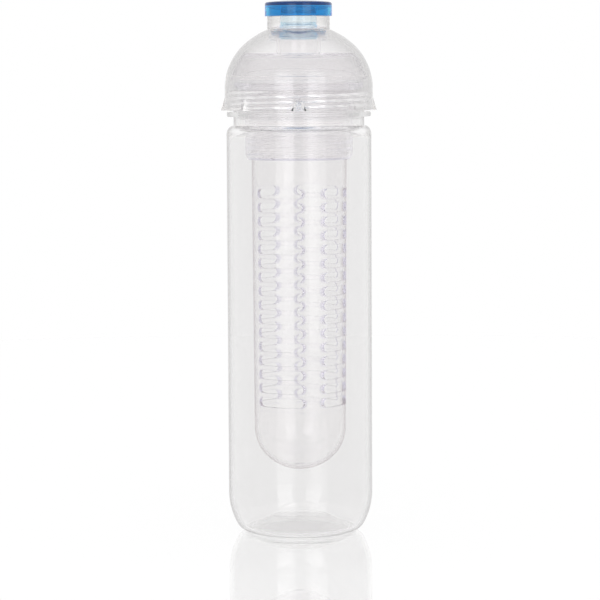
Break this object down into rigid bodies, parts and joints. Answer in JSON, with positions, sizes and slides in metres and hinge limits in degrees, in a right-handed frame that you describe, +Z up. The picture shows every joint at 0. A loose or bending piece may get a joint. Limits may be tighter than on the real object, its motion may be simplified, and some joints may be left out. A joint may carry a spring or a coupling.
{
  "type": "fruit infuser water bottle",
  "caption": "Tall clear plastic water bottle with a domed screw lid, a pull-out spout stopper and a slotted fruit infuser basket hung inside from a threaded collar.",
  "frame": {"origin": "centre of the standing ring, on the surface that the bottle stands on", "axes": "+Z up along the bottle's axis, -Y towards the front, +X to the right seen from the front"},
  "size_m": [0.0704, 0.0704, 0.241],
  "materials": {
    "bottle_plastic": "clear, polished",
    "basket_plastic": "clear, polished",
    "collar_plastic": "clear, polished",
    "dome_plastic": "clear, polished",
    "insert_plastic": "clear, polished",
    "stopper_plastic": "translucent blue, polished",
    "gasket_silicone": "translucent, satin",
    "seal_silicone": "translucent, satin"
  },
  "bodies": {
    "bottle": {"bottle_body": "bottle_plastic"},
    "basket": {"infuser_basket": "basket_plastic"},
    "collar_ring": {"collar_gasket": "gasket_silicone"},
    "collar": {"infuser_collar": "collar_plastic"},
    "lid_ring": {"lid_gasket": "gasket_silicone"},
    "lid": {"lid_dome": "dome_plastic", "lid_insert": "insert_plastic"},
    "stopper": {"stopper_cap": "stopper_plastic", "stopper_seal": "seal_silicone"}
  },
  "joints": [
    {"name": "infuser_lift", "type": "slide", "parent": "bottle", "child": "basket", "axis": [0, 0, 1], "range_m": [0, 0.21]},
    {"name": "collar_rise", "type": "slide", "parent": "basket", "child": "collar_ring", "axis": [0, 0, 1], "range_m": [0, 0.016]},
    {"name": "collar_turn", "type": "hinge", "parent": "collar_ring", "child": "collar", "pos_m": [0, 0, 0.1767], "axis": [0, 0, 1], "range_deg": [0, 900]},
    {"name": "lid_rise", "type": "slide", "parent": "collar", "child": "lid_ring", "axis": [0, 0, 1], "range_m": [0, 0.0072]},
    {"name": "lid_turn", "type": "hinge", "parent": "lid_ring", "child": "lid", "pos_m": [0, 0, 0.1955], "axis": [0, 0, 1], "range_deg": [0, 540]},
    {"name": "stopper_pull", "type": "slide", "parent": "lid", "child": "stopper", "axis": [0, 0, 1], "range_m": [0, 0.03]}
  ],
  "couplings": [
    {"joint": "collar_rise", "follows": "collar_turn", "m_per_rad": 0.0010186},
    {"joint": "lid_rise", "follows": "lid_turn", "m_per_rad": 0.00076394}
  ]
}
